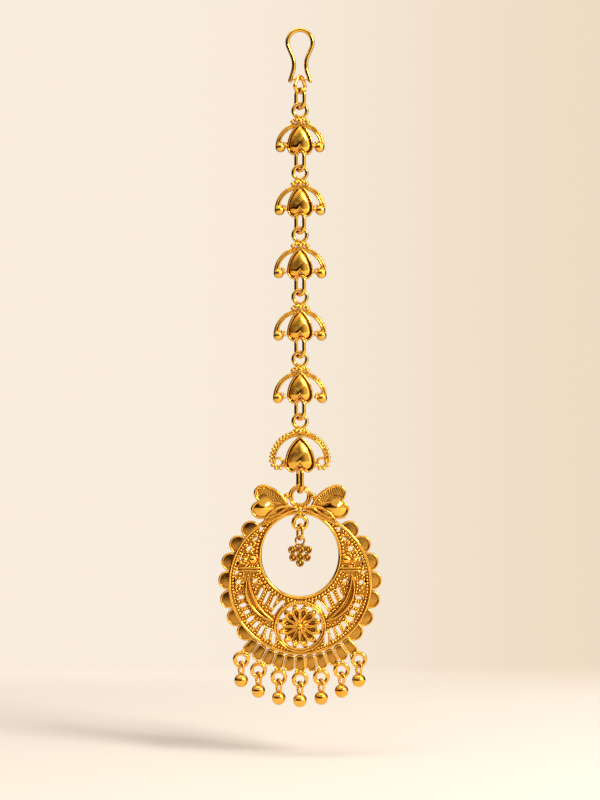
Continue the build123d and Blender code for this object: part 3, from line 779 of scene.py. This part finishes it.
def clear_of(places, margin):
    """The places that lie on the plate and keep a margin from its holes and raised work."""
    places = np.asarray(places, float).reshape(-1, 2)
    x, z = places.T
    wide, tall = (half + RIM + margin for half in OPENING)
    away, turn = np.hypot(x, z - ROSETTE_RISE), np.arctan2(z - ROSETTE_RISE, abs(x))
    kept = np.hypot(x, z) < BORDER - 0.6
    kept &= (x / wide) ** 2 + ((z - OPENING_RISE) / tall) ** 2 > 1
    kept &= away > ROSETTE[1] + margin
    for hole_x, hole_z, radius in ROUND_HOLES + BOSSES:
        kept &= np.hypot(abs(x) - hole_x, z - hole_z) > radius + margin + 0.12
    for slot_x, slot_z, length, width, slope in slot_places():
        local = turned(places - (slot_x, slot_z), -slope)
        run = np.clip(abs(local[:, 0]) - (length - width) / 2, 0, None)
        kept &= np.hypot(run, local[:, 1]) > width / 2 + margin
    inner, outer, first, last = CURVED_SLOT
    hugging = (turn > np.radians(first - 3)) & (turn < np.radians(last + 3))
    kept &= ~(hugging & (away > inner - margin - 0.2) & (away < outer + margin + 0.2))
    kept &= ~((abs(z - sum(BARS) / 2) < 0.55) & (abs(x) > BAR[0] - 0.2) & (abs(x) < BAR[1] + 0.2))
    return places[kept]


def ray(middle, slope, before, after):
    """A straight line through a place, from so far before it to so far after, falling outward."""
    run = polar(np.radians(-slope), 1)
    return np.array([middle - run * before, middle + run * after])


def rays_between(slots, before, after):
    """The lines that run between slots, given as (middle, slope), and as steep as they are."""
    made = []
    for (near, near_slope), (far, far_slope) in zip(slots[:-1], slots[1:]):
        middle = (np.array(near) + far) / 2
        made.append(ray(middle, (near_slope + far_slope) / 2, before, after))
    return made


def grain_rays():
    """The rows of granules beside the slots of the right half."""
    outer = [(outer_middle(*slot[:2]), slot[3]) for slot in OUTER_SLOTS]
    inner = [(slot[:2], INNER_LEAN) for slot in INNER_SLOTS]
    loose = [ray(np.array(middle), INNER_LEAN, 1.6, 1.8) for middle in LOOSE_RAYS]
    return rays_between(outer, 1.7, 1.2) + rays_between(inner, 2.0, 2.4) + loose


class TIKKA_OT_granulation(bpy.types.Operator):
    """Build the rows and fields of fused granules on the crescent"""

    bl_idname = "tikka.granulation"
    bl_label = "Granulation"

    def execute(self, context):
        small = context.scene.tikka_sizes.granule / MM
        piece = Piece(("granule",))
        rng = np.random.RandomState(7)
        taken = []

        def row(line, size, margin=0.0, closed=False):
            """A row of granules along a line, kept off holes and off the rows before it."""
            radius = small * size
            places = clear_of(along_line(line, radius * 2.08, closed), margin)
            if taken:
                places = places[far_from(places, np.concatenate(taken), radius * 1.5)]
            if len(places):
                taken.append(places)
                radii = radius * rng.uniform(0.92, 1.08, len(places))
                grains(piece, lift(places), radii, depth=GRAIN_FRONT)

        row(oval(0, OPENING_RISE, *(half + RIM + 0.34 for half in OPENING)), 1.15, closed=True)
        row(circle(0, 0, BORDER - 0.68, 180), 1, -0.1, True)
        row(circle(0, ROSETTE_RISE, ROSETTE[1] + 0.34, 90), 1, -0.05, True)
        bow = arc(*BLADE, 40)
        for flip in FLIPS:
            for line in grain_rays():
                row(line * flip, 0.92)
            for offset in (-1.12, 1.08):
                row(offset_line(bow, offset) * flip, 1, 0.05)
        step = small * 2.15
        levels, columns = range(-26, 26), range(30)
        grid = [((i + k % 2 / 2) * step, k * step * 0.87) for k in levels for i in columns]
        for flip in FLIPS:
            places = (np.array(grid) + rng.uniform(-0.22, 0.22, (len(grid), 2))) * flip
            places = clear_of(places, 0.1)
            places = places[far_from(places, np.concatenate(taken), small * 1.55)]
            for line, margin in ((bow, 1.0), (arc(*LEAF, 30), 1.05)):
                places = places[far_from(places, line * flip, margin)]
            radius = small * rng.uniform(0.6, 1.45, len(places))
            depth = GRAIN_FRONT + rng.uniform(-0.08, 0.12, len(places))
            grains(piece, lift(places), radius, depth=depth)
        piece.make("pendant_granulation", "pendant")
        return {"FINISHED"}


def blade(piece, line, swell, front, edge, side):
    """A hollow blade between two bright wires that bow apart from its middle line."""
    start, middle, end = np.array(line, float)
    bow = middle - (start + end) / 2
    bow *= swell / 2 / np.linalg.norm(bow)
    outer, inner = (arc(start, middle + reach, end, 40) for reach in (bow, -bow))
    count = len(outer)
    shares = np.linspace(0, 1, 9)
    rows = [(outer + (inner - outer) * s, 0.12 - front + 1.8 * s * (1 - s)) for s in shares]
    rows += [(inner, 0.38), (outer, 0.38)]
    points = np.concatenate([upright(line * (side, 1), y) for line, y in rows])
    faces = []
    for i in range(len(rows)):
        a, b = i * count, (i + 1) % len(rows) * count
        for j in range(count - 1):
            faces.append((a + j, b + j, b + j + 1, a + j + 1)[::side])
    piece.put(points + (0, 0, BORDER_Z), faces, "bed")
    taper = 0.45 + 0.55 * np.sin(np.linspace(0.25, np.pi - 0.25, count))
    for line in (outer, inner):
        wire(piece, lift(line * (side, 1)), edge * taper, front - 0.1)


class TIKKA_OT_blades(bpy.types.Operator):
    """Build the two side blades and the two leaves over the opening"""

    bl_idname = "tikka.blades"
    bl_label = "Blades and leaves"

    def execute(self, context):
        piece = Piece(("bed", "buffed"))
        for side in (1, -1):
            for row in BLADES:
                blade(piece, *row, side)
        piece.make("pendant_blades", "pendant")
        return {"FINISHED"}


def scale(piece, outline, middle, tilt, edge):
    """A satin scale: a faintly domed field that leans a little, inside a raised wire edge."""

    def height(share, x, z):
        if share > 0.9:
            return np.full_like(x, 0.05)
        lean = tilt[0] * (x - middle[0]) + tilt[1] * (z - middle[1])
        return np.clip(lean + 0.14 * (1 - share**2) - 0.08, -0.26, 0.2)

    shares = [*np.linspace(0.12, 0.89, 8), 0.95, 1.0]
    relief(piece, outline, middle, shares, height, 0.44, "satin")
    wire(piece, inset(outline, edge), edge, 0.26 - edge, "cast", closed=True, sides=8)


class TIKKA_OT_scales(bpy.types.Operator):
    """Build the row of satin coins and the narrow petals below them"""

    bl_idname = "tikka.scales"
    bl_label = "Coins and petals"

    def execute(self, context):
        piece = Piece(("cast", "satin"))
        rng = np.random.RandomState(5)
        for side, angle in mirrored(COIN_ANGLES):
            a = np.radians(angle)
            middle = hanging(np.pi - side * a, COIN_RING)
            tilt = (-0.17 * side * np.sin(a), rng.uniform(-0.04, 0.04))
            scale(piece, circle(*middle, COIN_RADIUS, 56), middle, tilt, COIN_EDGE)
        shape = np.concatenate([arc(*end) for end in PETAL_ENDS])
        for index in range(PETAL_COUNT):
            angle = (index - (PETAL_COUNT - 1) / 2) * PETAL_STEP
            a = np.radians(angle)
            middle = hanging(a, PETAL_RING)
            tilt = (-0.12 * np.sin(a) + rng.uniform(-0.03, 0.03), rng.uniform(0, 0.05))
            outline = along_line(turned(shape, angle) + middle, 0.22, closed=True)
            scale(piece, outline, middle, tilt, PETAL_EDGE)
        piece.make("pendant_coins_and_petals", "pendant")
        return {"FINISHED"}


class TIKKA_OT_rosette(bpy.types.Operator):
    """Build the twelve-petalled flower in its double frame"""

    bl_idname = "tikka.rosette"
    bl_label = "Rosette"

    def execute(self, context):
        piece = Piece(("bed", "buffed", "granule", "dark"))
        centre = np.array((0, ROSETTE_Z))
        for radius in FRAME_WIRES:
            line = circle(*centre, radius, 96)
            wire(piece, line, 0.24, 0, "bed", closed=True, sides=8, flat=1.9)
        for radius in FRAME_WIRES[::2]:
            wire(piece, circle(*centre, radius, 96), 0.22, 0.5, closed=True)
        row = polar(np.radians(np.linspace(8, 172, 60)), FRAME_WIRES[1], centre)
        grains(piece, along_line(row, 0.52), 0.25, depth=0.5)

        def height(share, x, z):
            hollow = 0.62 * max(0.0, 1 - (share / 0.62) ** 2)
            tip = 0.16 * np.exp(-(((np.hypot(x, z - ROSETTE_Z) - 4.0) / 0.5) ** 2))
            return 0.42 + tip - hollow - 0.2 * share**6

        # painted shade: faces sunk into a petal's hollow get the darker finish
        def sunk(x, z, y):
            return "dark" if -0.16 < y < 0.25 else None

        shape = joined(ROSETTE_PETAL)
        shares = [*np.linspace(0.08, 0.92, 14), 1.0]
        for turn in (np.arange(ROSETTE_PETALS) + 0.5) * 360 / ROSETTE_PETALS:
            outline = turned(shape, turn) + centre
            middle = turned((2.6, 0), turn) + centre
            relief(piece, outline, middle, shares, height, 0.25, "buffed", sunk)
        grains(piece, [centre], 0.68, "buffed", 0.45, BALL)
        piece.make("pendant_rosette", "pendant")
        return {"FINISHED"}


def wing(piece, side, ribs):
    """One wing: a heart on its side with a ribbed upper lobe and a swelling, polished lower one."""
    length, width = WING_SIZE

    def place(points):
        """Points of the lying heart, as (distance from its point, height above its middle)."""
        return lift((turned(points, WING_TILT) + WING_POINT) * (side, 1))

    def local(x, z):
        """The same two coordinates of a place on the jewel."""
        flat = np.stack([np.atleast_1d(x) * side, np.atleast_1d(z) - BORDER_Z], -1)
        return turned(flat - WING_POINT, -WING_TILT).T

    heart = heart_line(length, width, WING_HEART, 24)
    lying = np.stack([-heart[:, 1], heart[:, 0]], 1)
    outline = place(lying)
    boss = turned(np.subtract(WING_BOSS, WING_POINT), -WING_TILT)

    def height(share, x, z):
        if share > 0.9:
            return np.full_like(x, 0.5)
        run, rise = local(x, z)
        swell = 0.85 * np.exp(-((np.hypot(run - boss[0], rise - boss[1] + 0.2) / 1.45) ** 2))
        lobe = 0.25 * np.exp(-((np.hypot(run - boss[0], rise + 1.7) / 1.2) ** 2))
        return 0.3 + (swell + lobe) * (1 - share**8)

    def finish(x, z, y):
        run, rise = local(x, z)
        near = np.hypot(run - boss[0], rise - boss[1]) < 1.7
        return "buffed" if near[0] or rise[0] < -0.35 else None

    shares = [*np.linspace(0.06, 0.86, 22), 0.905, 0.95, 1.0]
    relief(piece, outline, place([(0.62 * length, 0)])[0], shares, height, 0.4, "bed", finish)
    wire(piece, inset(outline, 0.27), 0.3, 0.45, closed=True)
    edge = offset_line(along_line(lying[: len(lying) // 2 + 1], 0.1), -0.5)
    edge = edge[edge[:, 1] > 0.1]
    for pick in np.linspace(0.16, 0.9, ribs):
        root = edge[int(pick * (len(edge) - 1))]
        run = np.array((boss[0] - 0.5 - 2.2 * (1 - pick), boss[1] - 0.2)) - root
        run /= np.linalg.norm(run)
        reach = 1.75 * np.sin(np.pi * min(1.0, 0.25 + pick * 0.75)) + 0.35
        line = place(np.linspace(root, root + run * reach, 6))
        wire(piece, line, np.linspace(0.17, 0.09, 6), 0.36, sides=6)
    vein = place([(1.4, 0.15), (3.2, 0.25), (4.9, 0.0)])
    wire(piece, arc(*vein, 12), np.linspace(0.1, 0.22, 12), 0.4, sides=8)


class TIKKA_OT_wings(bpy.types.Operator):
    """Build the two winged hearts beside the bail"""

    bl_idname = "tikka.wings"
    bl_label = "Wings"

    def execute(self, context):
        piece = Piece(("bed", "buffed"))
        for side in (1, -1):
            wing(piece, side, context.scene.tikka_sizes.ribs)
        piece.make("pendant_wings", "pendant")
        return {"FINISHED"}


class TIKKA_OT_rings(bpy.types.Operator):
    """Build the double bail, the knot, the bosses and the rings that carry the drops"""

    bl_idname = "tikka.rings"
    bl_label = "Bail, bosses and drop rings"

    def execute(self, context):
        piece = Piece(("buffed", "granule"))
        for radius in BAIL_WIRES:
            ring(piece, 0, BAIL_Z, radius, 0.29, count=64)
        ring(piece, 0, CHARM_RING_Z, *CHARM_RING, count=48, sides=16)
        for x, height, radius in both_sides(KNOT_GRAINS):
            grains(piece, lift([(x, height)]), radius, "buffed", 0.05, BALL)
        for height, radius, depth in KNOT_BALLS:
            grains(piece, [(0, KNOT_Z + height)], radius, "buffed", depth, BALL)
        for x, height, radius in both_sides(BOSSES):
            place = lift((x, height))
            grains(piece, [place], radius, "buffed", 0.3, BALL)
            ring(piece, *place, radius + 0.12, 0.16, 0.36, 26, 8)
        for angle in np.radians(DROP_RINGS):
            ring(piece, *hanging(angle, DROP_ORBIT), *DROP_RING, sides=16)
            for turn, radius in DROP_GRAINS:
                spot = hanging(angle + turn, DROP_ORBIT - DROP_RING[0] - 0.25)
                grains(piece, [spot], radius, "granule", 0.05, BEAD)
        piece.make("pendant_rings_and_bosses", "pendant")
        return {"FINISHED"}


class TIKKA_OT_kept_pieces(bpy.types.Operator):
    """Give the hook, the links, the flower charm and the ball drops their finish"""

    bl_idname = "tikka.kept_pieces"
    bl_label = "Hook, links, charm and drops"

    def execute(self, context):
        for name in KEPT:
            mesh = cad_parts[name].data
            mesh.materials.clear()
            mesh.materials.append(golds()["satin" if name == "flower_charm" else "buffed"])
            mesh.polygons.foreach_set("material_index", [0] * len(mesh.polygons))
        return {"FINISHED"}


# ---- stage
def floor_material(name, colour):
    """Matt white board. Its far edge fades out, so that it runs into the backdrop."""
    material = bpy.data.materials.new(name)
    tree = cleared_tree(material)
    place = add(tree, "ShaderNodeTexCoord").outputs["Object"]
    fibre = add(tree, "ShaderNodeTexNoise", {"Vector": place, "Scale": per_mm(90), "Detail": 2.0})
    tone = blend(tree, fibre.outputs["Fac"], rgba(colour), rgba([v * 0.95 for v in colour]))
    matt = add(tree, "ShaderNodeBsdfDiffuse", {"Color": tone}).outputs[0]
    clear = add(tree, "ShaderNodeBsdfTransparent").outputs[0]
    back = add(tree, "ShaderNodeSeparateXYZ", {"Vector": place}).outputs["Y"]
    away = add(tree, "ShaderNodeVectorMath", {0: place}, operation="LENGTH").outputs["Value"]
    faded = ease(tree, back, *FLOOR_FADE), ease(tree, away, *FLOOR_EDGE)
    shares = {0: reckon(tree, "MAXIMUM", *faded), 1: matt, 2: clear}
    mix = add(tree, "ShaderNodeMixShader", shares)
    add(tree, "ShaderNodeOutputMaterial", {"Surface": mix.outputs[0]})
    return material


def studio_world(colours):
    """Surroundings: a pale backdrop for the camera, and for the metal a room that is dim in front,
    behind and to the left and pale elsewhere, which gives the polish its dark and bright bands."""
    world = bpy.data.worlds.new("studio_surroundings")
    bpy.context.scene.world = world
    tree = cleared_tree(world)
    direction = add(tree, "ShaderNodeTexCoord").outputs["Generated"]
    across, back, up = add(tree, "ShaderNodeSeparateXYZ", {"Vector": direction}).outputs
    ahead = ease(tree, back, -0.05, -0.5)
    sideways = ease(tree, across, -0.05, 0.5, 1.0, 0.15)
    left = ease(tree, across, -0.1, -0.7, 0.0, 0.95)
    behind = ease(tree, back, 0.0, 0.4)
    low = ease(tree, up, 0.3, 0.6, 1.0, 0.1)
    dim = reckon(tree, "MAXIMUM", reckon(tree, "MULTIPLY", ahead, sideways), left)
    shade = reckon(tree, "MULTIPLY", reckon(tree, "MAXIMUM", dim, behind), low)
    paper = rgba(colours.paper_colour)
    room = blend(tree, shade, paper, rgba(colours.room_colour))
    dusk = ease(tree, across, -0.06, 0.14)
    backdrop = blend(tree, dusk, paper, rgba(colours.shade_colour))
    rays = add(tree, "ShaderNodeLightPath").outputs
    shown = blend(tree, rays["Is Camera Ray"], room, backdrop)
    strength = remap(tree, rays["Is Diffuse Ray"], 0, 1, 1.0, 0.5)
    light = add(tree, "ShaderNodeBackground", {"Color": shown, "Strength": strength})
    add(tree, "ShaderNodeOutputWorld", {"Surface": light.outputs[0]})


def softbox(name, place, size, power):
    """A rectangular soft light that faces the jewel."""
    data = bpy.data.lights.new(name, "AREA")
    data.shape = "RECTANGLE"
    data.size, data.size_y = size
    data.energy = power
    data.color = linear(LAMP_TINT)
    lamp = bpy.data.objects.new(name, data)
    bpy.context.scene.collection.objects.link(lamp)
    lamp.location = place
    lamp.rotation_euler = (Vector(AIM) - lamp.location).to_track_quat("-Z", "Y").to_euler()


class TIKKA_OT_studio(bpy.types.Operator):
    """Set up the pale board and backdrop, the soft lights and the camera"""

    bl_idname = "tikka.studio"
    bl_label = "Studio"

    def execute(self, context):
        scene = context.scene
        colours = scene.tikka_finish
        level = CAD_BOX[0].z - FLOOR_DROP
        mesh = bpy.data.meshes.new("floor_board")
        mesh.from_pydata([(x, y, level) for x, y in FLOOR_CORNERS], [], [(0, 1, 2, 3)])
        mesh.materials.append(floor_material("matt_white_board", colours.floor_colour))
        board = bpy.data.objects.new("floor_board", mesh)
        scene.collection.objects.link(board)
        studio_world(colours)
        for lamp in SOFTBOXES:
            softbox(*lamp)
        data = bpy.data.cameras.new("studio_camera")
        data.lens, data.sensor_width = LENS, SENSOR
        data.clip_start, data.clip_end = 0.01, 10
        camera = bpy.data.objects.new("studio_camera", data)
        camera.location = (0, -CAMERA_BACK, AIM[2])
        camera.rotation_euler = (np.pi / 2, 0, 0)
        scene.collection.objects.link(camera)
        scene.camera = camera
        scene.view_settings.view_transform = "Standard"
        return {"FINISHED"}


# ---- settings, panel, registration
def colour(part, code):
    """A setting for the colour of a part, with its default as a hex code."""
    words = {"name": part.capitalize(), "description": f"Colour of the {part}"}
    return bpy.props.FloatVectorProperty(subtype="COLOR", default=linear(code), **words)


class TikkaFinish(bpy.types.PropertyGroup):
    """Colours of the plate and of the studio"""

    plate_colour: colour("polished gold plate", "#FFC44E")
    # painted shade: the colour the plate is given in recesses and between parts, also used for
    # random patches
    shade_and_patch_colour: colour("painted shade in recesses, and random patches", "#AE6216")
    # painted shade: a darker, more olive copy of the plate colour for the flat coins and petals
    shaded_coin_colour: colour("satin coins and petals", "#C4903A")
    # painted shade: a darker copy of the plate colour for the sunk bed under the granules
    shaded_bed_colour: colour("sunk plate under the granules", "#E6AA48")
    paper_colour: colour("backdrop paper", "#F9ECDC")
    shade_colour: colour("backdrop's dimmer side", "#EEDCC4")
    floor_colour: colour("floor board", "#F6F1EC")
    room_colour: colour("dim part of the room that the metal reflects", "#301B08")


class TikkaSizes(bpy.types.PropertyGroup):
    """Sizes of the fine work"""

    granule: bpy.props.FloatProperty(
        name="Granule radius",
        description="Radius of the small fused granules on the crescent",
        default=0.33 * MM,
        unit="LENGTH",
    )
    ribs: bpy.props.IntProperty(
        name="Wing ribs", description="Number of ribs on a wing's upper lobe", default=17
    )


OPERATORS = (
    TIKKA_OT_studio,
    TIKKA_OT_leaf_plaques,
    TIKKA_OT_beaded_plaque,
    TIKKA_OT_pierced_plate,
    TIKKA_OT_granulation,
    TIKKA_OT_blades,
    TIKKA_OT_scales,
    TIKKA_OT_rosette,
    TIKKA_OT_wings,
    TIKKA_OT_rings,
    TIKKA_OT_kept_pieces,
)


class TIKKA_PT_panel(bpy.types.Panel):
    """Lists the steps and settings of the maang tikka"""

    bl_idname = "TIKKA_PT_panel"
    bl_label = "Maang tikka"
    bl_space_type = "VIEW_3D"
    bl_region_type = "UI"
    bl_category = "Tikka"

    def draw(self, context):
        for group in (context.scene.tikka_finish, context.scene.tikka_sizes):
            for name in group.__annotations__:
                self.layout.prop(group, name)
        for operator in OPERATORS:
            self.layout.operator(operator.bl_idname)


CLASSES = (TikkaFinish, TikkaSizes, *OPERATORS, TIKKA_PT_panel)


def register():
    for each in CLASSES:
        bpy.utils.register_class(each)
    bpy.types.Scene.tikka_finish = bpy.props.PointerProperty(type=TikkaFinish)
    bpy.types.Scene.tikka_sizes = bpy.props.PointerProperty(type=TikkaSizes)


def unregister():
    del bpy.types.Scene.tikka_sizes
    del bpy.types.Scene.tikka_finish
    for each in reversed(CLASSES):
        bpy.utils.unregister_class(each)


def main():
    register()
    for operator in OPERATORS:
        group, name = operator.bl_idname.split(".")
        getattr(getattr(bpy.ops, group), name)()


if __name__ == "__main__":
    main()
